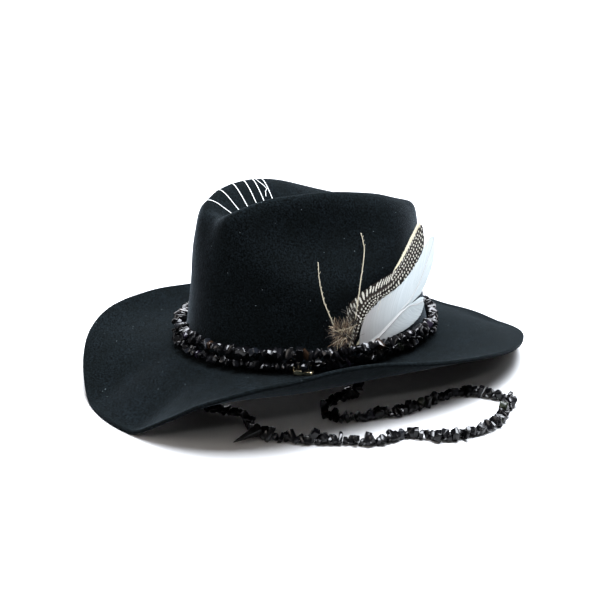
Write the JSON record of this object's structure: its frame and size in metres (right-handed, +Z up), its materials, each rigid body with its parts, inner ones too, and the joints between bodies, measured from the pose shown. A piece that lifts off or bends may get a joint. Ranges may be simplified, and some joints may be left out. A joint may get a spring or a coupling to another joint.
{
  "type": "western hat",
  "caption": "Black wool felt western hat with a pinched crown, rolled brim, stone-chip band, feather spray and a loose chin strand of chips.",
  "frame": {"origin": "on the table, under the middle of the part's box", "axes": "+Z up, -Y towards the front of the hat, +X towards the wearer's left"},
  "size_m": [0.324, 0.384, 0.15],
  "materials": {
    "felt": "matte pressed wool felt",
    "stone": "polished black stone chips",
    "gold": "tumbled metallic chip",
    "white_vane": "white feather vane",
    "guinea_vane": "dark feather vane with white dots",
    "cream_vane": "cream feather vane",
    "quill": "bare feather quill",
    "down": "loose grey-brown down"
  },
  "bodies": {
    "root": {"felt_body": "felt", "band_strand_upper": "stone", "band_strand_lower": "stone", "gold_chip": "gold", "chin_strand": "stone", "cream_feather": "cream_vane", "guinea_feather": "guinea_vane", "white_feather_long": "white_vane", "white_feather_short": "white_vane", "quill_left": "quill", "quill_right": "quill", "fluff": "down"}
  },
  "joints": []
}
